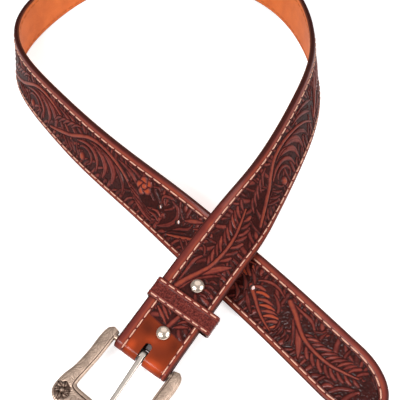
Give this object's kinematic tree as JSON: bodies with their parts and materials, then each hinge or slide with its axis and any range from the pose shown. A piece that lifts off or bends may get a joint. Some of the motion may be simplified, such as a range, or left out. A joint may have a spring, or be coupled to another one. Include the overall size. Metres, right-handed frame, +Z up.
{
  "type": "western tooled leather belt",
  "caption": "Tooled leather belt with lining, stitched edges, punched round tip, leather keeper, dome studs and a flared western buckle with a swinging prong, lying crossed over itself.",
  "frame": {"origin": "the middle of the belt's box in X and Y, at the height of the table that it lies on", "axes": "+Z up from the table, +Y from the buckle and tip towards the far side of the waist loop, +X to the right of someone who looks along +Y"},
  "size_m": [0.2614, 0.4494, 0.0574],
  "materials": {
    "tooled_leather": "antiqued and lightly polished",
    "lining_leather": "smooth natural grain",
    "keeper_leather": "stamped middle, smooth borders",
    "stud_metal": "polished nickel",
    "buckle_metal": "engraved antique silver",
    "prong_metal": "satin silver"
  },
  "bodies": {
    "strap": {"strap_outer": "tooled_leather", "strap_lining": "lining_leather", "keeper": "keeper_leather", "stud_1": "stud_metal", "stud_2": "stud_metal"},
    "buckle": {"buckle_frame": "buckle_metal"},
    "tongue": {"prong": "prong_metal"}
  },
  "joints": [
    {"name": "buckle_hinge", "type": "hinge", "parent": "strap", "child": "buckle", "pos_m": [-0.01326, -0.16772, 0.01005], "axis": [-0.8168, 0.5483, 0.1797], "range_deg": [-30, 30]},
    {"name": "prong_hinge", "type": "hinge", "parent": "buckle", "child": "tongue", "pos_m": [-0.01326, -0.16772, 0.01005], "axis": [-0.8168, 0.5483, 0.1797], "range_deg": [0, 80]}
  ]
}
